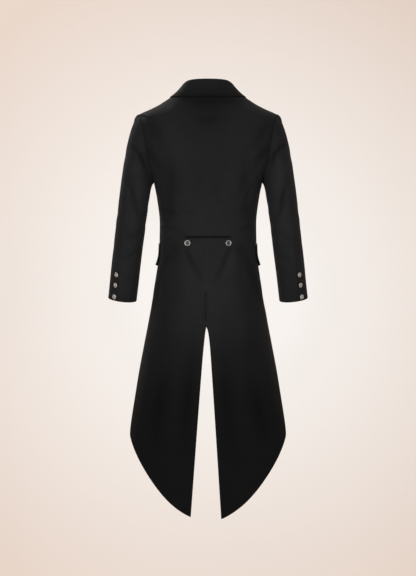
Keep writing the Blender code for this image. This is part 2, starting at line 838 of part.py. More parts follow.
def surface_of(cloth):
    bm = bmesh.new()
    bm.from_mesh(cloth.data)
    bmesh.ops.triangulate(bm, faces=bm.faces[:])
    return BVHTree.FromBMesh(bm)


def sew_button(name, mesh, cloth, above, toward, lean=0.0):
    """Seats a button's shank a seam's width off the cloth that lies in this direction.
    lean tips it about the upright, towards +X when positive."""
    place, normal, _, _ = surface_of(cloth).ray_cast(above, toward)
    made = bpy.data.objects.new(name, mesh)
    bpy.context.scene.collection.objects.link(made)
    made.location = place + normal * (SEAM * 1.5 + SHANK_RADIUS * abs(math.sin(lean)))
    made.rotation_mode = "QUATERNION"
    made.rotation_quaternion = Quaternion((0, 0, 1), -lean) @ normal.to_track_quat("Z", "Y")
    return made


def make_buttons(front_left, tails, top_sleeves):
    big = button_mesh("big_button", BIG_BUTTON_RADIUS, 14)
    small = button_mesh("cuff_button", CUFF_BUTTON_RADIUS, 11)
    for word, side in (("left", 1), ("right", -1)):
        across, height = BACK_BUTTON
        above = Vector((across * side, 0.3, height))
        sew_button(f"back_button_{word}", big, tails[word], above, Vector((0, -1, 0)))
        for k, height in enumerate(CUFF_BUTTON_HEIGHTS, 1):
            centre_x, centre_y, half_width, half_depth = between(ARM, -height)
            turn = math.radians(60)
            aim = Vector((-math.cos(turn) * side, -math.sin(turn) * half_depth / half_width, -0.1))
            aim.normalize()
            above = Vector((centre_x * side, centre_y, height)) - aim * 0.2
            name = f"cuff_button_{word}_{k}"
            sew_button(name, small, top_sleeves[word], above, aim, CUFF_BUTTON_LEAN * side)
    for k, height in enumerate(FRONT_BUTTON_HEIGHTS, 1):
        above = Vector((0.0, -0.3, height))
        sew_button(f"front_button_{k}", big, front_left, above, Vector((0, 1, 0)))


def main():
    clear_scene()
    make_back()
    fronts, tails, top_sleeves = {}, {}, {}
    for word, side in (("left", 1), ("right", -1)):
        make_side_body(f"side_body_{word}", side)
        fronts[word] = make_front(f"front_{word}", side)
        make_lapel(f"lapel_{word}", side)
        tails[word] = make_tail(f"tail_{word}", side)
        make_flap(f"pocket_flap_{word}", side)
        top, _ = make_sleeve(f"top_sleeve_{word}", f"under_sleeve_{word}", side)
        top_sleeves[word] = top
    make_collar()
    make_buttons(fronts["left"], tails, top_sleeves)


main()
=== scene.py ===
import math

import bmesh
import bpy
import numpy as np
from mathutils import Matrix, Vector, kdtree
from mathutils.bvhtree import BVHTree


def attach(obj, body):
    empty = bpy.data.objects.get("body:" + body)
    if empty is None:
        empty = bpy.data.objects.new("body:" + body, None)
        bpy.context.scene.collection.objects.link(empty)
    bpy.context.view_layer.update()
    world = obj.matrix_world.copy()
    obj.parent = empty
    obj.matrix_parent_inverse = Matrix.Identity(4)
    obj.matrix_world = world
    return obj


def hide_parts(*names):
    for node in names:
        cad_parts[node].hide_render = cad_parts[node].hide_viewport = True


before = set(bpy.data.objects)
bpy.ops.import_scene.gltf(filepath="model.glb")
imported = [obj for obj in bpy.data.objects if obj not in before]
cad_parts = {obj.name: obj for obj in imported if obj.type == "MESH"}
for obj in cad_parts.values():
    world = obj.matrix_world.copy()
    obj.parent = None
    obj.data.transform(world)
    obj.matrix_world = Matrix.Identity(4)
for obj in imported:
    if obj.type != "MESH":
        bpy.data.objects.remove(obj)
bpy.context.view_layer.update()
scene = bpy.context.scene
print("frame loaded:", len(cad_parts), "nodes")


# small helpers shared by every piece


def smoothStep(low, high, value):
    share = np.clip((value - low) / (high - low), 0.0, 1.0)
    return share * share * (3.0 - 2.0 * share)


def linkObject(name, mesh):
    made = bpy.data.objects.new(name, mesh)
    scene.collection.objects.link(made)
    return made


def bakeModifiers(piece):
    # the evaluated mesh takes the place of the plain one
    graph = bpy.context.evaluated_depsgraph_get()
    baked = bpy.data.meshes.new_from_object(piece.evaluated_get(graph))
    piece.modifiers.clear()
    piece.data = baked
    return baked


def readPoints(mesh):
    flat = np.empty(len(mesh.vertices) * 3)
    mesh.vertices.foreach_get("co", flat)
    return flat.reshape(-1, 3)


def writePoints(mesh, points):
    mesh.vertices.foreach_set("co", points.astype(np.float32).ravel())
    mesh.update()


# node groups that several materials share


def newGroup(name, inputs, outputs):
    group = bpy.data.node_groups.new(name, "ShaderNodeTree")
    for socketName, kind, value in inputs:
        socket = group.interface.new_socket(name=socketName, in_out="INPUT", socket_type=kind)
        if value is not None:
            socket.default_value = value
    for socketName, kind in outputs:
        group.interface.new_socket(name=socketName, in_out="OUTPUT", socket_type=kind)
    start = group.nodes.new("NodeGroupInput")
    end = group.nodes.new("NodeGroupOutput")
    return group, start, end


def mathNode(tree, operation, first, second=None, third=None, clamp=False):
    node = tree.nodes.new("ShaderNodeMath")
    node.operation = operation
    node.use_clamp = clamp
    for socket, value in zip(node.inputs, (first, second, third)):
        if value is None:
            continue
        if isinstance(value, (int, float)):
            socket.default_value = value
        else:
            tree.links.new(value, socket)
    return node.outputs[0]


def noiseNode(tree, vector, scale, detail=2.0, rough=0.5):
    node = tree.nodes.new("ShaderNodeTexNoise")
    node.inputs["Scale"].default_value = scale
    node.inputs["Detail"].default_value = detail
    node.inputs["Roughness"].default_value = rough
    tree.links.new(vector, node.inputs["Vector"])
    return node.outputs["Fac"]


def waveNode(tree, turns):
    # a sine that runs between 0 and 1
    swing = mathNode(tree, "SINE", mathNode(tree, "MULTIPLY", turns, 2 * math.pi))
    return mathNode(tree, "MULTIPLY_ADD", swing, 0.5, 0.5)


def centredNode(tree, value):
    return mathNode(tree, "SUBTRACT", value, 0.5)


def fadeNode(tree, distance, width):
    # 1 at no distance, down to 0 at this width
    return mathNode(tree, "SUBTRACT", 1.0, mathNode(tree, "DIVIDE", distance, width), clamp=True)


def bumpNode(tree, height, strength, distance, normal=None):
    node = tree.nodes.new("ShaderNodeBump")
    node.inputs["Strength"].default_value = strength
    node.inputs["Distance"].default_value = distance
    tree.links.new(height, node.inputs["Height"])
    if normal is not None:
        tree.links.new(normal, node.inputs["Normal"])
    return node.outputs[0]


def mixNode(tree, factor, base, over):
    # a colour laid over another one, as much as the factor says
    node = tree.nodes.new("ShaderNodeMix")
    node.data_type = "RGBA"
    tree.links.new(factor, node.inputs["Factor"])
    tree.links.new(base, node.inputs["A"])
    node.inputs["B"].default_value = (*over, 1.0)
    return node.outputs["Result"]


twillLook = {
    "slope": 0.58,  # how far the ribs slant
    "crossRate": 1.9,  # threads for each rib
    "threadShare": 0.28,
    "fibreScale": 2600.0,
    "slubScale": 160.0,
    "slubAmount": 0.55,
    "weaveTone": 0.55,
    "lowestTone": 0.12,
    "fuzzHeight": 0.6,
}


def buildTwill():
    # a steep twill: slanting ribs, cut across by the single threads, with loose fibre on top
    look = twillLook
    group, start, end = newGroup(
        "suitingTwill",
        [("Vector", "NodeSocketVector", None), ("Ribs", "NodeSocketFloat", 900.0),
         ("Fuzz", "NodeSocketFloat", 0.5)],
        [("Tone", "NodeSocketFloat"), ("Height", "NodeSocketFloat")],
    )
    place, ribs = start.outputs["Vector"], start.outputs["Ribs"]
    parts = group.nodes.new("ShaderNodeSeparateXYZ")
    group.links.new(place, parts.inputs[0])
    across, along = parts.outputs[0], parts.outputs[1]
    slant = mathNode(group, "ADD", across, mathNode(group, "MULTIPLY", along, look["slope"]))
    rib = waveNode(group, mathNode(group, "MULTIPLY", slant, ribs))
    crossRibs = mathNode(group, "MULTIPLY", ribs, look["crossRate"])
    thread = waveNode(group, mathNode(group, "MULTIPLY", along, crossRibs))
    fibre = noiseNode(group, place, look["fibreScale"], 3.0, 0.65)
    slub = noiseNode(group, place, look["slubScale"], 3.0, 0.6)
    ribPart = mathNode(group, "MULTIPLY", rib, 1 - look["threadShare"])
    woven = mathNode(group, "MULTIPLY_ADD", thread, look["threadShare"], ribPart)
    fuzz = mathNode(group, "MULTIPLY", centredNode(group, fibre), start.outputs["Fuzz"])
    slubs = mathNode(group, "MULTIPLY", centredNode(group, slub), look["slubAmount"])
    tone = mathNode(group, "MULTIPLY_ADD", woven, look["weaveTone"], look["lowestTone"])
    tone = mathNode(group, "ADD", mathNode(group, "ADD", tone, fuzz), slubs, clamp=True)
    raised = mathNode(group, "MULTIPLY", fuzz, look["fuzzHeight"])
    group.links.new(tone, end.inputs["Tone"])
    group.links.new(mathNode(group, "ADD", woven, raised), end.inputs["Height"])
    return group


edgeLook = {
    "wornWidth": 0.0022,
    "napScale": 420.0,
    "stitchWidth": 0.00045,
    "stitchRate": 2100.0,
    "stitchCut": -0.55,  # a lower cut makes longer stitches
    "puckerWidth": 0.016,
    "puckerScale": 75.0,
    "grooveWidth": 0.0012,
    "grooveDepth": 0.35,
    "stitchHeight": 0.4,
}


def buildSewnEdge():
    # what happens near a made edge: a pressed roll, small puckers and a sunk line of stitches
    look = edgeLook
    group, start, end = newGroup(
        "sewnEdge",
        [("Distance", "NodeSocketFloat", 0.05), ("Vector", "NodeSocketVector", None),
         ("StitchAt", "NodeSocketFloat", 0.004), ("Pucker", "NodeSocketFloat", 0.5)],
        [("Wear", "NodeSocketFloat"), ("Stitch", "NodeSocketFloat"), ("Height", "NodeSocketFloat")],
    )
    distance, place = start.outputs["Distance"], start.outputs["Vector"]
    nap = noiseNode(group, place, look["napScale"], 2.0, 0.6)
    wear = mathNode(group, "MULTIPLY", fadeNode(group, distance, look["wornWidth"]), nap)
    fromLine = mathNode(group, "SUBTRACT", distance, start.outputs["StitchAt"])
    offset = mathNode(group, "ABSOLUTE", fromLine)
    parts = group.nodes.new("ShaderNodeSeparateXYZ")
    group.links.new(place, parts.inputs[0])
    # across and up are added, so that the stitches show whichever way the edge runs
    beat = mathNode(group, "ADD", parts.outputs[0], parts.outputs[1])
    beat = mathNode(group, "SINE", mathNode(group, "MULTIPLY", beat, look["stitchRate"]))
    dash = mathNode(group, "GREATER_THAN", beat, look["stitchCut"])
    stitch = mathNode(group, "MULTIPLY", fadeNode(group, offset, look["stitchWidth"]), dash)
    near = fadeNode(group, distance, look["puckerWidth"])
    swell = centredNode(group, noiseNode(group, place, look["puckerScale"], 1.5, 0.5))
    pucker = mathNode(group, "MULTIPLY", near, swell)
    pucker = mathNode(group, "MULTIPLY", pucker, start.outputs["Pucker"])
    groove = fadeNode(group, offset, look["grooveWidth"])
    groove = mathNode(group, "MULTIPLY", groove, -look["grooveDepth"])
    thread = mathNode(group, "MULTIPLY", stitch, look["stitchHeight"])
    height = mathNode(group, "ADD", mathNode(group, "ADD", pucker, groove), thread)
    group.links.new(wear, end.inputs["Wear"])
    group.links.new(stitch, end.inputs["Stitch"])
    group.links.new(height, end.inputs["Height"])
    return group


wearLook = {"coarseScale": 260.0, "fineScale": 2400.0, "roughShare": 0.25, "fineHeight": 0.3}


def buildMetalWear():
    look = wearLook
    group, start, end = newGroup(
        "metalWear",
        [("Vector", "NodeSocketVector", None), ("Amount", "NodeSocketFloat", 0.5)],
        [("Tone", "NodeSocketFloat"), ("Roughness", "NodeSocketFloat"),
         ("Height", "NodeSocketFloat")],
    )
    place, amount = start.outputs["Vector"], start.outputs["Amount"]
    coarse = noiseNode(group, place, look["coarseScale"], 3.0, 0.6)
    fine = noiseNode(group, place, look["fineScale"], 2.0, 0.6)
    tone = mathNode(group, "MULTIPLY_ADD", centredNode(group, coarse), amount, 0.5, clamp=True)
    rough = mathNode(group, "MULTIPLY", coarse, look["roughShare"])
    rough = mathNode(group, "MULTIPLY_ADD", fine, look["roughShare"], rough)
    height = mathNode(group, "MULTIPLY", fine, look["fineHeight"])
    group.links.new(tone, end.inputs["Tone"])
    group.links.new(rough, end.inputs["Roughness"])
    group.links.new(mathNode(group, "ADD", height, coarse), end.inputs["Height"])
    return group


twillGroup = buildTwill()
edgeGroup = buildSewnEdge()
metalGroup = buildMetalWear()


def placeGroup(tree, group, **values):
    node = tree.nodes.new("ShaderNodeGroup")
    node.node_tree = group
    for name, value in values.items():
        if isinstance(value, (int, float)):
            node.inputs[name].default_value = value
        else:
            tree.links.new(value, node.inputs[name])
    return node


def rampNode(tree, factor, stops):
    node = tree.nodes.new("ShaderNodeValToRGB")
    for stop, (place, colour) in zip(node.color_ramp.elements, stops):
        stop.position = place
        stop.color = (*colour, 1.0)
    for place, colour in stops[2:]:
        stop = node.color_ramp.elements.new(place)
        stop.color = (*colour, 1.0)
    tree.links.new(factor, node.inputs[0])
    return node.outputs[0]


def newMaterial(name):
    made = bpy.data.materials.new(name)
    made.use_nodes = True
    return made, made.node_tree, made.node_tree.nodes["Principled BSDF"]


# the cloth

clothLook = {
    "dark": (0.0040, 0.0041, 0.0045),
    "light": (0.0260, 0.0263, 0.0275),
    "worn": (0.026, 0.026, 0.026),
    "stitch": (0.022, 0.022, 0.023),
    # the colour of the painted shade
    "paintedShadeColour": (0.0008, 0.0008, 0.0009),
    "ribsPerMetre": 780.0,
    "fuzz": 0.55,
    "cloudScale": 7.0,
    "cloudAmount": 0.35,
    "wornStitched": 0.6,  # wear along a stitched edge, and along a plain one
    "wornPlain": 0.08,
    "stitchAmount": 0.55,
    "stitchFromEdge": 0.0042,
    "pucker": 0.8,
    "roughness": 0.80,
    "roughSpread": 0.14,
    "weaveBump": (0.8, 0.0003),  # strength and distance
    "pressBump": (0.7, 0.0012),
    "sheen": 0.015,
    "sheenRoughness": 0.45,
    "sheenTint": (0.75, 0.76, 0.80, 1.0),
    "specular": 0.07,
}


def attributeNode(tree, name):
    node = tree.nodes.new("ShaderNodeAttribute")
    node.attribute_name = name
    return node.outputs["Fac"]


def makeCloth(name, stitched, look):
    made, tree, shader = newMaterial(name)
    uv = tree.nodes.new("ShaderNodeUVMap")
    uv.uv_map = "clothUV"
    place = tree.nodes.new("ShaderNodeTexCoord")
    twill = placeGroup(
        tree, twillGroup, Vector=uv.outputs[0], Ribs=look["ribsPerMetre"], Fuzz=look["fuzz"],
    )
    sewn = placeGroup(
        tree, edgeGroup, Distance=attributeNode(tree, "edgeDistance"), Vector=uv.outputs[0],
        StitchAt=look["stitchFromEdge"] if stitched else -1.0, Pucker=look["pucker"],
    )
    cloud = noiseNode(tree, place.outputs["Object"], look["cloudScale"], 3.0, 0.55)
    tone = mathNode(
        tree, "MULTIPLY_ADD", centredNode(tree, cloud), look["cloudAmount"],
        twill.outputs["Tone"], clamp=True,
    )
    worn = look["wornStitched"] if stitched else look["wornPlain"]
    worn = mathNode(tree, "MULTIPLY", sewn.outputs["Wear"], worn, clamp=True)
    thread = mathNode(tree, "MULTIPLY", sewn.outputs["Stitch"], look["stitchAmount"])
    colour = rampNode(tree, tone, [(0.0, look["dark"]), (1.0, look["light"])])
    colour = mixNode(tree, worn, colour, look["worn"])
    colour = mixNode(tree, thread, colour, look["stitch"])
    # painted shade: the cloth is darkened towards a near-black colour as much as the point
    # attribute says
    colour = mixNode(tree, attributeNode(tree, "paintedShade"), colour, look["paintedShadeColour"])
    tree.links.new(colour, shader.inputs["Base Color"])
    smoothest = look["roughness"] - look["roughSpread"] / 2
    rough = mathNode(tree, "MULTIPLY_ADD", tone, look["roughSpread"], smoothest)
    tree.links.new(rough, shader.inputs["Roughness"])
    weave = bumpNode(tree, twill.outputs["Height"], *look["weaveBump"])
    press = bumpNode(tree, sewn.outputs["Height"], *look["pressBump"], weave)
    tree.links.new(press, shader.inputs["Normal"])
    shader.inputs["Sheen Weight"].default_value = look["sheen"]
    shader.inputs["Sheen Roughness"].default_value = look["sheenRoughness"]
    shader.inputs["Sheen Tint"].default_value = look["sheenTint"]
    shader.inputs["Specular IOR Level"].default_value = look["specular"]
    return made


coatCloth = makeCloth("coatCloth", False, clothLook)
edgeStitchedCloth = makeCloth("edgeStitchedCloth", True, clothLook)
print("cloth materials made")


# folds, laid on the panels as troughs with a soft ridge along one side; a fold drawn from the
# back or front has points across and up, and one from the left or right front-to-back and up
foldColumns = ("seenFrom", "start", "middle", "end", "depth", "spread", "root")


def foldTable(rows):
    return [dict(zip(foldColumns, row)) for row in rows]


bodyFolds = foldTable([
    ("back", (0.122, -0.205), (0.112, -0.290), (0.120, -0.392), 0.0040, 0.0135, 0.35),
    ("back", (-0.118, -0.198), (-0.110, -0.296), (-0.122, -0.398), 0.0042, 0.0140, 0.35),
    ("back", (0.184, -0.176), (0.152, -0.216), (0.136, -0.270), 0.0042, 0.0090, 0.8),
    ("back", (-0.184, -0.170), (-0.150, -0.206), (-0.134, -0.256), 0.0038, 0.0095, 0.8),
    ("back", (0.176, -0.092), (0.150, -0.128), (0.146, -0.188), 0.0028, 0.0115, 0.6),
    ("back", (-0.180, -0.100), (-0.156, -0.132), (-0.148, -0.178), 0.0032, 0.0105, 0.6),
    ("back", (0.052, -0.072), (0.000, -0.084), (-0.050, -0.074), 0.0022, 0.0130, 0.0),
    ("back", (0.142, -0.356), (0.104, -0.374), (0.064, -0.366), 0.0026, 0.0068, 0.7),
    ("back", (-0.144, -0.344), (-0.100, -0.368), (-0.056, -0.358), 0.0024, 0.0072, 0.7),
    ("back", (0.140, -0.404), (0.112, -0.418), (0.082, -0.432), 0.0026, 0.0055, 0.4),
    ("back", (-0.142, -0.396), (-0.118, -0.414), (-0.086, -0.430), 0.0028, 0.0058, 0.4),
    ("back", (0.028, -0.214), (0.036, -0.270), (0.030, -0.336), 0.0014, 0.0160, 0.0),
    ("back", (-0.034, -0.240), (-0.028, -0.300), (-0.036, -0.360), 0.0012, 0.0150, 0.0),
    ("front", (0.010, -0.352), (0.056, -0.340), (0.116, -0.292), 0.0042, 0.0075, 0.9),
    ("front", (0.010, -0.354), (0.060, -0.362), (0.128, -0.352), 0.0034, 0.0070, 0.9),
    ("front", (-0.024, -0.350), (-0.064, -0.330), (-0.110, -0.276), 0.0044, 0.0078, 0.7),
    ("front", (-0.024, -0.356), (-0.070, -0.366), (-0.132, -0.362), 0.0032, 0.0068, 0.7),
    ("front", (0.012, -0.408), (0.058, -0.414), (0.104, -0.402), 0.0028, 0.0068, 0.8),
    ("front", (-0.026, -0.406), (-0.062, -0.418), (-0.112, -0.412), 0.0030, 0.0062, 0.6),
    ("front", (0.184, -0.160), (0.152, -0.206), (0.146, -0.276), 0.0048, 0.0095, 0.8),
    ("front", (-0.182, -0.166), (-0.150, -0.216), (-0.150, -0.286), 0.0052, 0.0090, 0.8),
    ("left", (0.060, -0.322), (0.010, -0.338), (-0.050, -0.326), 0.0034, 0.0070, 0.2),
    ("right", (0.054, -0.334), (0.004, -0.350), (-0.058, -0.340), 0.0036, 0.0074, 0.2),
    ("left", (0.064, -0.386), (0.020, -0.400), (-0.030, -0.394), 0.0028, 0.0060, 0.3),
    ("right", (0.060, -0.378), (0.012, -0.392), (-0.040, -0.384), 0.0026, 0.0064, 0.3),
    ("left", (0.040, -0.250), (0.010, -0.276), (-0.036, -0.270), 0.0026, 0.0085, 0.5),
    ("right", (0.044, -0.244), (0.008, -0.262), (-0.030, -0.284), 0.0028, 0.0080, 0.5),
])

tailFolds = foldTable([
    ("back", (0.069, -0.484), (0.050, -0.524), (0.014, -0.582), 0.0064, 0.0066, 0.7),
    ("back", (-0.066, -0.484), (-0.048, -0.532), (-0.019, -0.590), 0.0060, 0.0068, 0.7),
    ("back", (0.100, -0.462), (0.104, -0.560), (0.092, -0.690), 0.0024, 0.0140, 0.6),
    ("back", (-0.104, -0.462), (-0.100, -0.570), (-0.096, -0.670), 0.0026, 0.0135, 0.6),
    ("back", (0.124, -0.520), (0.130, -0.680), (0.148, -0.860), 0.0024, 0.0180, 0.2),
    ("back", (-0.126, -0.500), (-0.128, -0.660), (-0.142, -0.880), 0.0026, 0.0185, 0.2),
    ("back", (0.034, -0.680), (0.062, -0.880), (0.078, -1.140), 0.0026, 0.0210, 0.0),
    ("back", (-0.036, -0.720), (-0.062, -0.910), (-0.072, -1.180), 0.0024, 0.0200, 0.0),
    ("back", (0.128, -0.820), (0.156, -0.960), (0.172, -1.110), 0.0024, 0.0210, 0.0),
    ("back", (-0.124, -0.850), (-0.158, -0.970), (-0.180, -1.090), 0.0026, 0.0195, 0.0),
    ("left", (0.070, -0.480), (0.046, -0.600), (0.060, -0.760), 0.0044, 0.0120, 0.6),
    ("right", (0.074, -0.480), (0.052, -0.620), (0.058, -0.740), 0.0042, 0.0130, 0.6),
    ("left", (-0.020, -0.500), (-0.010, -0.580), (0.020, -0.680), 0.0034, 0.0100, 0.4),
    ("right", (-0.026, -0.500), (-0.012, -0.570), (0.014, -0.660), 0.0036, 0.0110, 0.4),
])

sleeveFolds = foldTable([
    ("back", (0.246, -0.156), (0.204, -0.176), (0.180, -0.252), 0.0060, 0.0068, 0.25),
    ("back", (0.246, -0.236), (0.236, -0.330), (0.202, -0.394), 0.0068, 0.0074, 0.20),
    ("back", (0.206, -0.420), (0.238, -0.452), (0.276, -0.446), 0.0030, 0.0085, 0.5),
    ("back", (0.216, -0.482), (0.240, -0.500), (0.270, -0.520), 0.0024, 0.0080, 0.4),
    ("back", (0.232, -0.560), (0.250, -0.580), (0.272, -0.576), 0.0016, 0.0065, 0.3),
    ("front", (0.196, -0.170), (0.212, -0.222), (0.244, -0.236), 0.0044, 0.0080, 0.7),
    ("front", (0.198, -0.250), (0.214, -0.286), (0.246, -0.290), 0.0036, 0.0082, 0.5),
    ("front", (0.198, -0.330), (0.226, -0.356), (0.262, -0.346), 0.0050, 0.0076, 0.3),
    ("front", (0.202, -0.380), (0.236, -0.384), (0.272, -0.402), 0.0054, 0.0072, 0.2),
    ("front", (0.208, -0.424), (0.240, -0.440), (0.276, -0.430), 0.0046, 0.0076, 0.2),
    ("front", (0.220, -0.500), (0.246, -0.520), (0.280, -0.512), 0.0028, 0.0074, 0.3),
    ("left", (0.048, -0.170), (0.012, -0.196), (-0.030, -0.190), 0.0010, 0.0110, 0.4),
    ("left", (0.050, -0.348), (0.016, -0.374), (-0.034, -0.370), 0.0010, 0.0095, 0.4),
    ("left", (-0.052, -0.406), (-0.020, -0.418), (0.022, -0.410), 0.0010, 0.0095, 0.6),
    ("left", (-0.056, -0.470), (-0.024, -0.478), (0.012, -0.466), 0.0013, 0.0090, 0.5),
    ("right", (0.040, -0.330), (0.010, -0.340), (-0.040, -0.352), 0.0010, 0.0095, 0.2),
    ("right", (0.034, -0.400), (0.000, -0.408), (-0.046, -0.396), 0.0010, 0.0095, 0.2),
])

seenAxes = {"back": (0, 1, 1), "front": (0, 1, -1), "left": (1, 0, 1), "right": (1, 0, -1)}


foldShape = {
    "steps": 28,  # points along a fold's line
    "facing": (0.05, 0.55),  # where a fold fades out as the cloth turns away
    "ridgeHeight": 0.42,
    "ridgeAt": 1.9,
    "ridgeWidth": 0.95,
    "darkestFrom": 0.006,  # the depth from which a trough's painted shade is darkest
    "darkWidth": 0.75,
}


def foldField(points, outward, folds):
    # how far each point moves out, negative inside a trough, and how deep in a trough it lies
    moved, sunk = np.zeros(len(points)), np.zeros(len(points))
    rows = np.arange(len(points))
    last = foldShape["steps"] - 1
    share = np.linspace(0.0, 1.0, foldShape["steps"])[:, None]
    for fold in folds:
        drawn, facing, sign = seenAxes[fold["seenFrom"]]
        shown = smoothStep(*foldShape["facing"], outward[:, facing] * sign)
        if not shown.any():
            continue
        start, middle, end = (np.array(fold[key]) for key in ("start", "middle", "end"))
        line = (1 - share) ** 2 * start + 2 * share * (1 - share) * middle + share**2 * end
        flat = points[:, [drawn, 2]]
        gaps = flat[:, None, :] - line[None, :, :]
        away = np.hypot(gaps[..., 0], gaps[..., 1])
        nearest = away.argmin(axis=1)
        run = np.gradient(line, axis=0)[nearest]
        gap = gaps[rows, nearest]
        turn = np.sign(run[:, 0] * gap[:, 1] - run[:, 1] * gap[:, 0])
        reach = away[rows, nearest] / fold["spread"]
        along = nearest / last
        fade = fold["root"] * (1 - along) ** 0.7 + (1 - fold["root"]) * np.sin(math.pi * along)
        trough = -np.exp(-0.5 * reach**2)
        beside = (reach * turn - foldShape["ridgeAt"]) / foldShape["ridgeWidth"]
        ridge = foldShape["ridgeHeight"] * np.exp(-0.5 * beside**2)
        moved += fold["depth"] * fade * shown * (trough + ridge)
        # painted shade in a trough: deeper folds get more of it
        dark = min(fold["depth"] / foldShape["darkestFrom"], 1)
        sunk += dark * fade * shown * np.exp(-0.5 * (reach / foldShape["darkWidth"]) ** 2)
    return moved, np.clip(sunk, 0.0, 1.0)


waveShape = {"count": 7, "rates": (18, 55), "phases": (0, 6.28), "sizes": (0.3, 1.0), "calm": 3.0}


def slowWaves(points, seed, amount):
    # what keeps a large panel from looking pressed flat
    source = np.random.default_rng(seed)
    total = np.zeros(len(points))
    for _ in range(waveShape["count"]):
        heading = source.normal(size=3) * source.uniform(*waveShape["rates"])
        wave = np.sin(points @ heading + source.uniform(*waveShape["phases"]))
        total += wave * source.uniform(*waveShape["sizes"])
    return total * amount / waveShape["calm"]


# where out is, and how the cloth unrolls

bodyShape = {
    "widthRadius": 0.170,
    "depthRadius": 0.120,
    "heights": (-1.32, -1.05, -0.75, -0.55, -0.44, -0.39, -0.30, -0.20, -0.10, -0.05, 0.01),
    "radii": (0.240, 0.212, 0.170, 0.145, 0.127, 0.124, 0.140, 0.166, 0.172, 0.150, 0.080),
}
armShape = {
    "heights": (-0.632, -0.570, -0.500, -0.430, -0.360, -0.300, -0.200, -0.100, -0.050),
    "across": (0.2664, 0.2595, 0.2514, 0.2430, 0.2343, 0.2265, 0.2140, 0.1980, 0.1850),
    "along": (-0.031, -0.018, -0.005, 0.004, 0.006, 0.004, 0.002, 0.000, 0.000),
    "radius": 0.052,
}


def bodyOutward(points, side):
    out = np.zeros_like(points)
    out[:, 0] = points[:, 0] / bodyShape["widthRadius"] ** 2
    out[:, 1] = points[:, 1] / bodyShape["depthRadius"] ** 2
    return out / np.linalg.norm(out, axis=1)[:, None]


def bodyUnrolled(points, side):
    angle = np.arctan2(points[:, 0] * side, points[:, 1])
    angle = np.where(angle < -math.pi / 2, angle + 2 * math.pi, angle)
    radius = np.interp(points[:, 2], bodyShape["heights"], bodyShape["radii"])
    return np.stack([angle * radius * side, points[:, 2]], axis=1)


def armCentre(points, side):
    centre = np.zeros_like(points)
    centre[:, 0] = np.interp(points[:, 2], armShape["heights"], armShape["across"]) * side
    centre[:, 1] = np.interp(points[:, 2], armShape["heights"], armShape["along"])
    centre[:, 2] = points[:, 2]
    return centre


def armOutward(points, side):
    out = points - armCentre(points, side)
    return out / np.maximum(np.linalg.norm(out, axis=1), 1e-6)[:, None]


def armUnrolled(points, side):
    out = points - armCentre(points, side)
    angle = np.arctan2(out[:, 1], out[:, 0] * side)
    return np.stack([angle * armShape["radius"] * side, points[:, 2]], axis=1)


# cutting a smooth panel from a solid


shellShape = {
    "mergeWithin": 0.00002,
    "creasedFrom": math.radians(42),  # edges that stay crisp
    "pairedFaces": math.radians(48),  # triangles that pair up into four-sided faces
    "pairedShapes": math.radians(70),
    "rimWidth": 0.0026,  # a cut edge's faces are no wider than this
    "rimFrom": math.radians(48),
}


def smoothShell(name, levels, seamReach):
    # a copy of the solid's wall, its triangles paired up, its cut edges kept crisp
    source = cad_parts[name]
    shell = bmesh.new()
    shell.from_mesh(source.data)
    bmesh.ops.remove_doubles(shell, verts=shell.verts[:], dist=shellShape["mergeWithin"])
    sharp = shell.edges.layers.float.new("crease_edge")
    for side in shell.edges:
        if len(side.link_faces) == 2 and side.calc_face_angle(0.0) > shellShape["creasedFrom"]:
            side[sharp] = 1.0
    bmesh.ops.join_triangles(
        shell, faces=shell.faces[:], cmp_seam=False, cmp_sharp=False, cmp_uvs=False,
        cmp_vcols=False, cmp_materials=False,
        angle_face_threshold=shellShape["pairedFaces"],
        angle_shape_threshold=shellShape["pairedShapes"],
    )
    # each cut edge is moved out past the gap that the solids keep, as a sewn seam is closed
    pushes = {}
    for face in shell.faces:
        crisp = sum(side[sharp] > 0.5 for side in face.edges)
        narrow = min(side.calc_length() for side in face.edges) < shellShape["rimWidth"]
        if crisp >= 2 and narrow:
            for vert in face.verts:
                pushes[vert] = pushes.get(vert, Vector()) + face.normal
    for vert, push in pushes.items():
        vert.co += push.normalized() * seamReach
    mesh = bpy.data.meshes.new(name + "Cloth")
    shell.to_mesh(mesh)
    shell.free()
    piece = linkObject(name + "Cloth", mesh)
    smoothing = piece.modifiers.new("smoothing", "SUBSURF")
    smoothing.levels = smoothing.render_levels = levels
    smoothing.use_creases = True
    bakeModifiers(piece)
    return piece


def markEdges(piece):
    # each point's distance from the nearest cut edge, for the stitches and the wear
    mesh = piece.data
    look = bmesh.new()
    look.from_mesh(mesh)
    rims = [side for side in look.edges if side.calc_face_angle(0.0) > shellShape["rimFrom"]]
    rimPoints = {vert.index for side in rims for vert in side.verts}
    look.free()
    tree = kdtree.KDTree(len(rimPoints))
    for index in rimPoints:
        tree.insert(mesh.vertices[index].co, index)
    tree.balance()
    distances = np.array([tree.find(vert.co)[2] for vert in mesh.vertices])
    layer = mesh.attributes.new("edgeDistance", "FLOAT", "POINT")
    layer.data.foreach_set("value", distances.astype(np.float32))
    return distances


def layUv(piece, flat):
    mesh = piece.data
    corners = np.empty(len(mesh.loops), np.int32)
    mesh.loops.foreach_get("vertex_index", corners)
    for layer in list(mesh.uv_layers):
        mesh.uv_layers.remove(layer)
    layer = mesh.uv_layers.new(name="clothUV")
    layer.data.foreach_set("uv", flat[corners].astype(np.float32).ravel())


rolledShape = {"width": 0.0006, "segments": 2, "from": math.radians(55)}


def finishPiece(piece, material):
    mesh = piece.data
    mesh.materials.clear()
    mesh.materials.append(material)
    mesh.shade_smooth()
    rolled = piece.modifiers.new("rolledEdge", "BEVEL")
    rolled.width = rolledShape["width"]
    rolled.segments = rolledShape["segments"]
    rolled.limit_method = "ANGLE"
    rolled.angle_limit = rolledShape["from"]
    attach(piece, "root")
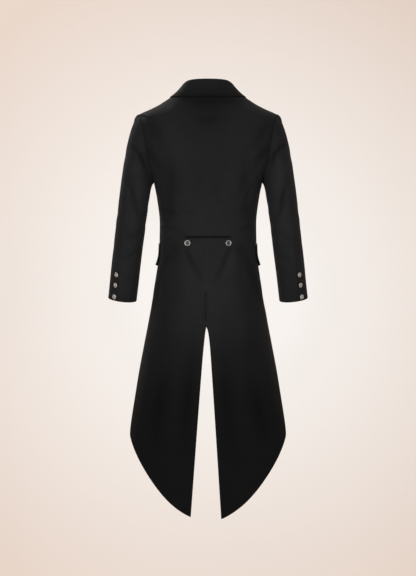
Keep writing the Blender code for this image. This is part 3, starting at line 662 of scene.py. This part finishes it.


# painted shade: the cloth's colour is darkened where shade falls: in the troughs, in bands and
# lines such as under the collar and below the waist edge, and down the tails towards the hems
paintedShadeLook = {
    "troughShade": 0.42,
    "behind": (-0.1, 0.4),  # where the bands fade out as the cloth turns to the front
    "outside": (-0.4, 0.1),  # and where all of it does on the wall's inner side
    "lineEnds": 12,
    "most": 0.9,
    "bands": [
        # painted shade in soft patches: beside the back's middle, under the collar, down the back,
        # on the tails' sides and near the shoulders
        {"across": 0.115, "height": -0.305, "wide": 0.030, "tall": 0.085, "amount": 0.12},
        {"across": -0.115, "height": -0.305, "wide": 0.030, "tall": 0.085, "amount": 0.06},
        {"across": 0.0, "height": 0.000, "wide": 0.115, "tall": 0.078, "amount": 0.54},
        {"across": 0.0, "height": -0.170, "wide": 0.130, "tall": 0.085, "amount": 0.30},
        {"across": 0.0, "height": -0.290, "wide": 0.060, "tall": 0.060, "amount": 0.12},
        {"across": 0.150, "height": -0.640, "wide": 0.060, "tall": 0.140, "amount": 0.22},
        {"across": -0.150, "height": -0.640, "wide": 0.060, "tall": 0.140, "amount": 0.20},
        {"across": 0.190, "height": -0.090, "wide": 0.030, "tall": 0.060, "amount": 0.26},
        {"across": -0.190, "height": -0.090, "wide": 0.030, "tall": 0.060, "amount": 0.22},
    ],
    "lines": [
        # painted shadow lines: under the collar's fall, below the waist edge, and along the vent
        # seam
        {"from": (-0.120, -0.014), "to": (0.120, -0.014), "wide": 0.0160, "amount": 0.24},
        {"from": (-0.078, -0.4405), "to": (0.078, -0.4405), "wide": 0.0026, "amount": 0.80},
        {"from": (0.0080, -0.606), "to": (0.0080, -0.706), "wide": 0.0032, "amount": 0.40},
    ],
    # painted shade that grows darker down the tails towards the hems
    "tailFrom": -0.64,
    "tailTo": -0.98,
    "tailAmount": 0.66,
}


# painted shade for each point: trough shade, shaded bands and lines, and darker towards the tails'
# hems
def paintedShade(points, outward, sunk):
    shade = paintedShadeLook["troughShade"] * sunk
    behind = smoothStep(*paintedShadeLook["behind"], outward[:, 1])
    for band in paintedShadeLook["bands"]:
        across = (points[:, 0] - band["across"]) / band["wide"]
        up = (points[:, 2] - band["height"]) / band["tall"]
        shade += band["amount"] * behind * np.exp(-0.5 * (across**2 + up**2))
    for line in paintedShadeLook["lines"]:
        start, end = np.array(line["from"]), np.array(line["to"])
        run = end - start
        flat = points[:, [0, 2]] - start
        along = flat @ run / (run @ run)
        away = np.linalg.norm(flat - np.clip(along, 0, 1)[:, None] * run, axis=1)
        ends = np.clip(np.minimum(along, 1 - along) * paintedShadeLook["lineEnds"], 0, 1)
        shade += line["amount"] * behind * ends * np.exp(-0.5 * (away / line["wide"]) ** 2)
    down = smoothStep(-paintedShadeLook["tailFrom"], -paintedShadeLook["tailTo"], -points[:, 2])
    return np.clip(shade + paintedShadeLook["tailAmount"] * down, 0.0, paintedShadeLook["most"])


clothPieces = {}


def makePanel(name, side, cut, folds, outwardOf, unroll):
    piece = smoothShell(name, cut["levels"], cut["seamReach"])
    distance = markEdges(piece)
    mesh = piece.data
    points = readPoints(mesh)
    flat = unroll(points, side)
    outward = outwardOf(points, side)
    moved, sunk = foldField(points, outward, folds)
    moved += slowWaves(points, cut["seed"], cut["waves"])
    moved *= smoothStep(0.0, cut["heldEdge"], distance)
    facing = np.empty(len(points) * 3)
    mesh.vertices.foreach_get("normal", facing)
    outer = smoothStep(*paintedShadeLook["outside"], (facing.reshape(-1, 3) * outward).sum(axis=1))
    # painted shade, kept off the wall's inner side and stored on each point for the cloth's colour
    shade = mesh.attributes.new("paintedShade", "FLOAT", "POINT")
    shades = paintedShade(points, outward, sunk) * outer
    shade.data.foreach_set("value", shades.astype(np.float32))
    writePoints(mesh, points + outward * moved[:, None])
    layUv(piece, flat)
    finishPiece(piece, edgeStitchedCloth if cut["stitched"] else coatCloth)
    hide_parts(name)
    clothPieces[name] = piece
    return piece


# two kinds of panel: a sewn-in one reaches over half of the gap between two solids
sewnIn = {"levels": 3, "seamReach": 0.00044, "stitched": False}
laidOn = {"levels": 2, "seamReach": 0.0, "stitched": True}


# the body

backCut = {
    **sewnIn, "flat": (0.50, 0.47), "area": 0.160, "seed": 3, "waves": 0.0006, "heldEdge": 0.022,
}
sideCut = {
    **sewnIn, "flat": (0.14, 0.26), "area": 0.0238, "seed": 5, "waves": 0.0004, "heldEdge": 0.016,
}
frontCut = {
    **sewnIn, "flat": (0.32, 0.54), "area": 0.095, "seed": 8, "waves": 0.0006, "heldEdge": 0.018,
}

makePanel("back", 1, backCut, bodyFolds, bodyOutward, bodyUnrolled)
for word, side in (("left", 1), ("right", -1)):
    makePanel("side_body_" + word, side, sideCut, bodyFolds, bodyOutward, bodyUnrolled)
    makePanel("front_" + word, side, frontCut, bodyFolds, bodyOutward, bodyUnrolled)
print("body made")


# lapels and collar

lapelCut = {
    "left": {
        **laidOn, "flat": (0.13, 0.29), "area": 0.0167, "seed": 12,
        "waves": 0.0003, "heldEdge": 0.010,
    },
    "right": {
        **laidOn, "flat": (0.11, 0.22), "area": 0.0128, "seed": 13,
        "waves": 0.0003, "heldEdge": 0.010,
    },
}
collarCut = {
    **laidOn, "flat": (0.46, 0.105), "area": 0.0335, "seed": 17, "waves": 0.0003, "heldEdge": 0.010,
}

for word, side in (("left", 1), ("right", -1)):
    makePanel("lapel_" + word, side, lapelCut[word], bodyFolds, bodyOutward, bodyUnrolled)
makePanel("collar", 1, collarCut, [], bodyOutward, bodyUnrolled)
print("lapels and collar made")


# sleeves

topSleeveCut = {
    **sewnIn, "flat": (0.23, 0.61), "area": 0.102, "seed": 21, "waves": 0.0005, "heldEdge": 0.014,
}
underSleeveCut = {
    **sewnIn, "flat": (0.155, 0.50), "area": 0.062, "seed": 21, "waves": 0.0005, "heldEdge": 0.014,
}
otherArm = {"drop": 0.012, "shift": 0.004, "depth": (0.75, 1.2)}


def foldsForArm(side):
    # the right arm's folds are like the left's, but not their mirror image
    if side > 0:
        return sleeveFolds
    swapped = {"back": "back", "front": "front", "left": "right", "right": "left"}
    source = np.random.default_rng(31)
    found = []
    for fold in sleeveFolds:
        drop = source.uniform(-otherArm["drop"], otherArm["drop"])
        other = dict(fold)
        other["seenFrom"] = swapped[fold["seenFrom"]]
        flip = -1 if fold["seenFrom"] in ("back", "front") else 1
        for key in ("start", "middle", "end"):
            shift = source.uniform(-otherArm["shift"], otherArm["shift"])
            other[key] = (fold[key][0] * flip, fold[key][1] + drop + shift)
        other["depth"] = fold["depth"] * source.uniform(*otherArm["depth"])
        found.append(other)
    return found


for word, side in (("left", 1), ("right", -1)):
    armFolds = foldsForArm(side)
    makePanel("top_sleeve_" + word, side, topSleeveCut, armFolds, armOutward, armUnrolled)
    makePanel("under_sleeve_" + word, side, underSleeveCut, armFolds, armOutward, armUnrolled)
print("sleeves made")


# tails and flaps

tailCut = {
    "left": {
        **sewnIn, "flat": (0.37, 0.89), "area": 0.190, "seed": 41,
        "waves": 0.0009, "heldEdge": 0.020,
    },
    "right": {
        **sewnIn, "flat": (0.38, 0.90), "area": 0.199, "seed": 43,
        "waves": 0.0009, "heldEdge": 0.020,
    },
}
flapCut = {
    **laidOn, "flat": (0.11, 0.075), "area": 0.0069, "seed": 47, "waves": 0.0002, "heldEdge": 0.006,
}

for word, side in (("left", 1), ("right", -1)):
    makePanel("tail_" + word, side, tailCut[word], tailFolds, bodyOutward, bodyUnrolled)
    makePanel("pocket_flap_" + word, side, flapCut, [], bodyOutward, bodyUnrolled)
print("tails made")


# buttons

buttonLook = {
    "silver": (0.40, 0.395, 0.385),
    "silverDark": (0.20, 0.197, 0.19),
    "pale": (0.80, 0.795, 0.78),
    "paleDark": (0.52, 0.515, 0.50),
    "dish": (0.018, 0.018, 0.019),
    "dishLight": (0.060, 0.059, 0.057),
    # share of the radius, and height in millimetres above the base
    "shank": [(0.00, 0.0), (0.16, 0.0), (0.16, 2.3)],
    "back": [(0.16, 2.3), (0.80, 2.2), (0.94, 2.6)],
    "rim": [
        (0.94, 2.6), (0.995, 3.1), (1.00, 3.7), (0.975, 4.3), (0.92, 4.75),
        (0.85, 4.9), (0.78, 4.75), (0.73, 4.3), (0.70, 3.9),
    ],
    "dishProfile": [(0.70, 3.9), (0.66, 3.6), (0.58, 3.45), (0.48, 3.5), (0.40, 3.7)],
    "boss": [
        (0.40, 3.7), (0.38, 4.05), (0.33, 4.2), (0.28, 4.1),
        (0.25, 3.9), (0.16, 4.1), (0.08, 4.35), (0.00, 4.42),
    ],
    "cuffHeight": 0.82,  # the small buttons are lower by this share
    "turns": 40,
    "beads": 20,
    "beadsAt": 0.575,  # shares of the radius, and the height in millimetres
    "beadRadius": 0.052,
    "beadHeight": 3.42,
}
metalLook = {"wear": 1.2, "roughSpread": 0.5, "smoother": 0.1, "bump": (0.15, 0.0002)}


def makeMetal(name, dark, light, roughness, metallic):
    made, tree, shader = newMaterial(name)
    place = tree.nodes.new("ShaderNodeTexCoord")
    wear = placeGroup(
        tree, metalGroup, Vector=place.outputs["Object"], Amount=metalLook["wear"],
    )
    colour = rampNode(tree, wear.outputs["Tone"], [(0.2, dark), (0.8, light)])
    tree.links.new(colour, shader.inputs["Base Color"])
    rough = mathNode(
        tree, "MULTIPLY_ADD", wear.outputs["Roughness"], metalLook["roughSpread"],
        roughness - metalLook["smoother"],
    )
    tree.links.new(rough, shader.inputs["Roughness"])
    worn = bumpNode(tree, wear.outputs["Height"], *metalLook["bump"])
    tree.links.new(worn, shader.inputs["Normal"])
    shader.inputs["Metallic"].default_value = metallic
    return made


silverMetal = makeMetal("silverMetal", buttonLook["silverDark"], buttonLook["silver"], 0.34, 1.0)
paleMetal = makeMetal("paleMetal", buttonLook["paleDark"], buttonLook["pale"], 0.40, 1.0)
darkMetal = makeMetal("darkMetal", buttonLook["dish"], buttonLook["dishLight"], 0.46, 0.6)


def buttonFrame(name):
    # the solid button's own base point, axis and radius
    points = readPoints(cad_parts[name].data)
    points = np.unique(np.round(points, 6), axis=0)
    middle = points.mean(axis=0)
    _, _, axes = np.linalg.svd(points - middle)
    axis = axes[2]
    if "cuff" in name:
        outward = armOutward(middle[None], 1 if middle[0] > 0 else -1)[0]
    else:
        outward = np.array([0.0, math.copysign(1.0, middle[1]), 0.0])
    if axis @ outward < 0:
        axis = -axis
    reach = (points - middle) @ axis
    flat = (points - middle) - reach[:, None] * axis
    radius = np.linalg.norm(flat, axis=1).max()
    base = middle + axis * reach.min()
    return Vector(base), Vector(axis), radius


def makeButton(name):
    base, axis, radius = buttonFrame(name)
    isCuff = "cuff" in name
    tall = 0.001 * (buttonLook["cuffHeight"] if isCuff else 1.0)
    slots = {"shank": 0, "back": 0, "rim": 0, "dishProfile": 1, "boss": 0 if isCuff else 1}
    button = bmesh.new()
    for part, slot in slots.items():
        profile = buttonLook[part]
        line = [button.verts.new((radius * share, 0.0, height * tall)) for share, height in profile]
        run = [button.edges.new(pair) for pair in zip(line, line[1:])]
        before = set(button.faces)
        bmesh.ops.spin(
            button, geom=line + run, axis=(0, 0, 1), cent=(0, 0, 0), angle=2 * math.pi,
            steps=buttonLook["turns"], use_merge=True, use_duplicate=False,
        )
        for face in set(button.faces) - before:
            face.material_index = slot
    bmesh.ops.remove_doubles(button, verts=button.verts[:], dist=0.00001)
    bmesh.ops.dissolve_degenerate(button, edges=button.edges[:], dist=0.000001)
    bmesh.ops.recalc_face_normals(button, faces=button.faces[:])
    # a ring of low beads in the sunken ring
    for step in range(buttonLook["beads"]):
        turn = 2 * math.pi * step / buttonLook["beads"]
        spot = Vector((math.cos(turn), math.sin(turn), 0)) * radius * buttonLook["beadsAt"]
        spot.z = buttonLook["beadHeight"] * tall
        bead = bmesh.ops.create_icosphere(
            button, subdivisions=1, radius=radius * buttonLook["beadRadius"],
            matrix=Matrix.Translation(spot),
        )
        for vert in bead["verts"]:
            for face in vert.link_faces:
                face.material_index = 0
    turned = axis.to_track_quat("Z", "Y").to_matrix().to_4x4()
    placed = Matrix.Translation(base) @ turned
    bmesh.ops.transform(button, matrix=placed, verts=button.verts[:])
    mesh = bpy.data.meshes.new(name + "Metal")
    button.to_mesh(mesh)
    button.free()
    mesh.shade_smooth()
    mesh.set_sharp_from_angle(angle=math.radians(38))
    mesh.materials.append(paleMetal if isCuff else silverMetal)
    mesh.materials.append(darkMetal)
    piece = linkObject(name + "Metal", mesh)
    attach(piece, "root")
    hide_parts(name)
    return piece


for name in sorted(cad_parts):
    if "button" in name:
        makeButton(name)
print("buttons made")


# buttonholes, worked in thread on the left front and lapel

holeLook = {
    "thread": (0.016, 0.016, 0.017),
    "threadDark": (0.008, 0.008, 0.009),
    "strandScale": 1800.0,
    "roughness": 0.5,
    "sheen": 0.3,
    "bump": (1.0, 0.0003),
    "across": 0.001,
    "length": 0.023,
    "halfWidth": 0.0014,
    "pitch": 0.0011,
    "stitch": (0.0012, 0.00058, 0.00075),  # half sizes: along, wide and high
    "lift": 0.0002,
    "eyeWide": 1.25,  # the round end, in half widths
    "eyeLong": 1.4,
    "heights": (-0.350, -0.405, -0.460),
    "lapel": {"from": (0.106, -0.082), "to": (0.123, -0.089)},
}


def makeThread():
    made, tree, shader = newMaterial("buttonholeThread")
    place = tree.nodes.new("ShaderNodeTexCoord")
    strands = noiseNode(tree, place.outputs["Object"], holeLook["strandScale"], 3.0, 0.6)
    tones = [(0.3, holeLook["threadDark"]), (0.8, holeLook["thread"])]
    tree.links.new(rampNode(tree, strands, tones), shader.inputs["Base Color"])
    tree.links.new(bumpNode(tree, strands, *holeLook["bump"]), shader.inputs["Normal"])
    shader.inputs["Roughness"].default_value = holeLook["roughness"]
    shader.inputs["Sheen Weight"].default_value = holeLook["sheen"]
    return made


holeThread = makeThread()


def surfaceTree(piece):
    graph = bpy.context.evaluated_depsgraph_get()
    return BVHTree.FromObject(piece.evaluated_get(graph), graph)


def makeHole(name, cloth, start, end):
    # stitches stand side by side round a closed slit
    tree = surfaceTree(cloth)
    start, end = Vector((start[0], 0, start[1])), Vector((end[0], 0, end[1]))
    middle = start.lerp(end, 0.5)
    run = (end - start).normalized()
    beside = Vector((run.z, 0, -run.x))
    length, half = (end - start).length, holeLook["halfWidth"]
    eyeWide, eyeLong = half * holeLook["eyeWide"], half * holeLook["eyeLong"]
    count = int(length / holeLook["pitch"])
    outline = [start + run * length * step / count + beside * half for step in range(count + 1)]
    for turn in (math.pi * step / 8 for step in range(1, 8)):
        outline.append(end + beside * eyeWide * math.cos(turn) + run * eyeLong * math.sin(turn))
    outline += [end - run * length * step / count - beside * half for step in range(count + 1)]
    for turn in (math.pi * step / 4 for step in range(1, 4)):
        outline.append(start - beside * half * math.cos(turn) - run * half * math.sin(turn))
    sized = Matrix.Diagonal((*holeLook["stitch"], 1.0))
    hole = bmesh.new()
    for spot in outline:
        hit, normal, _, _ = tree.ray_cast(Vector((spot.x, -0.4, spot.z)), Vector((0, 1, 0)))
        fromStart = spot - start
        if abs(fromStart.dot(run) - length / 2) < length / 2:
            along = beside * (1 if fromStart.dot(beside) > 0 else -1)
        else:
            along = middle - spot
        along = (along - normal * along.dot(normal)).normalized()
        wide = normal.cross(along).normalized()
        turned = Matrix((along, wide, normal)).transposed().to_4x4()
        placed = Matrix.Translation(hit + normal * holeLook["lift"])
        bmesh.ops.create_icosphere(
            hole, subdivisions=1, radius=1.0, matrix=placed @ turned @ sized,
        )
    mesh = bpy.data.meshes.new(name)
    hole.to_mesh(mesh)
    hole.free()
    mesh.shade_smooth()
    mesh.materials.append(holeThread)
    piece = linkObject(name, mesh)
    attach(piece, "root")
    return piece


for step, height in enumerate(holeLook["heights"], 1):
    holeStart = (holeLook["across"], height)
    holeEnd = (holeLook["across"] + holeLook["length"], height)
    makeHole(f"frontButtonhole{step}", clothPieces["front_left"], holeStart, holeEnd)
lapelHole = holeLook["lapel"]
makeHole("lapelButtonhole", clothPieces["lapel_left"], lapelHole["from"], lapelHole["to"])
print("buttonholes worked")


# stage, light and camera

stageLook = {
    "floorHeight": -1.56,
    "wallAt": -1.8,
    "bend": 0.9,
    "bendSteps": 16,
    "half": 7.0,
    "top": 4.5,
    "brightAcross": -0.05,  # the middle of the painted pool of light, and how far its tones reach
    "brightHeight": -0.60,
    "reach": 1.25,
    "tones": [
        (0.0, (0.955, 0.93, 0.905)), (0.20, (0.950, 0.922, 0.895)),
        (0.30, (0.909, 0.866, 0.828)), (0.36, (0.905, 0.86, 0.82)),
        (0.91, (0.755, 0.632, 0.556)),
    ],
    "shade": 0.30,
    "glow": 0.78,
    "fadeFrom": 3.2,
    "fadeOver": 3.0,
}


def lengthNode(tree, vector):
    node = tree.nodes.new("ShaderNodeVectorMath")
    node.operation = "LENGTH"
    tree.links.new(vector, node.inputs[0])
    return node.outputs["Value"]


def makePaper():
    look = stageLook
    made, tree, shader = newMaterial("palePaper")
    place = tree.nodes.new("ShaderNodeTexCoord").outputs["Object"]
    mapping = tree.nodes.new("ShaderNodeMapping")
    mapping.inputs["Location"].default_value = (-look["brightAcross"], 0.0, -look["brightHeight"])
    mapping.inputs["Scale"].default_value = (1.0, 0.0, 1.0)
    tree.links.new(place, mapping.inputs["Vector"])
    reach = mathNode(tree, "DIVIDE", lengthNode(tree, mapping.outputs[0]), look["reach"])
    # painted light: the paper glows, brightest in a painted pool of light behind the coat, and the
    # glow gives most of its tone, so that the lamps leave no patches on it
    tone = rampNode(tree, reach, look["tones"])
    dim = tree.nodes.new("ShaderNodeVectorMath")
    dim.operation = "SCALE"
    dim.inputs["Scale"].default_value = look["shade"]
    tree.links.new(tone, dim.inputs[0])
    tree.links.new(dim.outputs["Vector"], shader.inputs["Base Color"])
    tree.links.new(tone, shader.inputs["Emission Color"])
    shader.inputs["Emission Strength"].default_value = look["glow"]
    shader.inputs["Roughness"].default_value = 0.9
    shader.inputs["Specular IOR Level"].default_value = 0.1
    # it is clear from behind and fades out far away, so that the coat can be seen from any side
    far = mathNode(tree, "SUBTRACT", lengthNode(tree, place), look["fadeFrom"])
    fade = mathNode(tree, "DIVIDE", far, look["fadeOver"], clamp=True)
    behind = tree.nodes.new("ShaderNodeNewGeometry").outputs["Backfacing"]
    clear = tree.nodes.new("ShaderNodeBsdfTransparent")
    both = tree.nodes.new("ShaderNodeMixShader")
    tree.links.new(mathNode(tree, "MAXIMUM", behind, fade), both.inputs[0])
    tree.links.new(shader.outputs[0], both.inputs[1])
    tree.links.new(clear.outputs[0], both.inputs[2])
    tree.links.new(both.outputs[0], tree.nodes["Material Output"].inputs["Surface"])
    return made


def makeStage():
    # one sheet of paper: floor under the coat, bent up into a wall behind it
    paper = bmesh.new()
    half, floor, bend = stageLook["half"], stageLook["floorHeight"], stageLook["bend"]
    turnAt = stageLook["wallAt"] + bend
    line = [paper.verts.new((-half, half, floor)), paper.verts.new((-half, turnAt, floor))]
    for step in range(1, stageLook["bendSteps"] + 1):
        turn = math.radians(90) * step / stageLook["bendSteps"]
        back, up = bend * math.sin(turn), bend * (1 - math.cos(turn))
        line.append(paper.verts.new((-half, turnAt - back, floor + up)))
    line.append(paper.verts.new((-half, stageLook["wallAt"], stageLook["top"])))
    run = [paper.edges.new(pair) for pair in zip(line, line[1:])]
    swept = bmesh.ops.extrude_edge_only(paper, edges=run)
    farSide = [part for part in swept["geom"] if isinstance(part, bmesh.types.BMVert)]
    bmesh.ops.translate(paper, vec=(2 * half, 0, 0), verts=farSide)
    bmesh.ops.recalc_face_normals(paper, faces=paper.faces[:])
    if sum(face.normal.z for face in paper.faces) < 0:
        bmesh.ops.reverse_faces(paper, faces=paper.faces[:])
    mesh = bpy.data.meshes.new("paperStage")
    paper.to_mesh(mesh)
    paper.free()
    mesh.shade_smooth()
    mesh.materials.append(makePaper())
    linkObject("paperStage", mesh)


makeStage()

lampWhite, paperWhite, coatMiddle = (1.0, 0.995, 0.985), (1.0, 0.99, 0.98), (0, 0, -0.3)
# each lamp's place, what it aims at, its width, power and colour
lightLook = {
    "softBox": ((0.12, 1.45, -0.02), coatMiddle, 0.8, 17, lampWhite),
    "keyLeft": ((2.4, 2.6, 1.5), coatMiddle, 1.4, 23, lampWhite),
    "keyRight": ((-2.6, 2.4, 1.3), coatMiddle, 1.4, 24, lampWhite),
    "top": ((0.0, 0.3, 2.8), coatMiddle, 1.8, 6, lampWhite),
    "frontFill": ((1.1, -1.6, 0.9), (0, 0, -0.5), 1.1, 24, lampWhite),
    "paperLight": ((0.0, -0.5, 2.7), (0, -1.8, -0.7), 2.2, 22, paperWhite),
}
for name, (place, aim, width, power, colour) in lightLook.items():
    data = bpy.data.lights.new(name, "AREA")
    data.shape = "SQUARE"
    data.size = width
    data.energy = power
    data.color = colour
    lamp = linkObject(name, data)
    lamp.location = place
    lamp.rotation_euler = (Vector(aim) - Vector(place)).to_track_quat("-Z", "Y").to_euler()
    lamp.visible_camera = False

roomLook = {"light": (1.0, 0.98, 0.965), "strength": 0.22, "seen": (0.80, 0.69, 0.61)}

world = bpy.data.worlds.new("softRoom")
scene.world = world
world.use_nodes = True
roomTree = world.node_tree
shine = roomTree.nodes["Background"]
shine.inputs["Color"].default_value = (*roomLook["light"], 1.0)
shine.inputs["Strength"].default_value = roomLook["strength"]
seen = roomTree.nodes.new("ShaderNodeBackground")
seen.inputs["Color"].default_value = (*roomLook["seen"], 1.0)
choose = roomTree.nodes.new("ShaderNodeMixShader")
path = roomTree.nodes.new("ShaderNodeLightPath")
roomTree.links.new(path.outputs["Is Camera Ray"], choose.inputs[0])
roomTree.links.new(shine.outputs[0], choose.inputs[1])
roomTree.links.new(seen.outputs[0], choose.inputs[2])
roomTree.links.new(choose.outputs[0], roomTree.nodes["World Output"].inputs["Surface"])

# the photograph's frame: 3.1 mm to a pixel at the coat's middle depth
cameraLook = {
    "distance": 20.0,
    "depth": 0.06,
    "pixelSize": 0.0031,
    "pixelsHigh": 576,
    "across": 0.0,
    "height": -0.5983,
    "sensor": 36.0,
}
cameraData = bpy.data.cameras.new("photoCamera")
camera = linkObject("photoCamera", cameraData)
camera.location = (
    cameraLook["across"], cameraLook["depth"] + cameraLook["distance"], cameraLook["height"],
)
camera.rotation_euler = (math.radians(90), 0, math.radians(180))
seenHeight = cameraLook["pixelsHigh"] * cameraLook["pixelSize"]
cameraData.sensor_fit = "VERTICAL"
cameraData.sensor_height = cameraLook["sensor"]
cameraData.lens = cameraLook["sensor"] * cameraLook["distance"] / seenHeight
cameraData.clip_end = 100.0
scene.camera = camera
scene.view_settings.view_transform = "Standard"
print("stage, light and camera set")
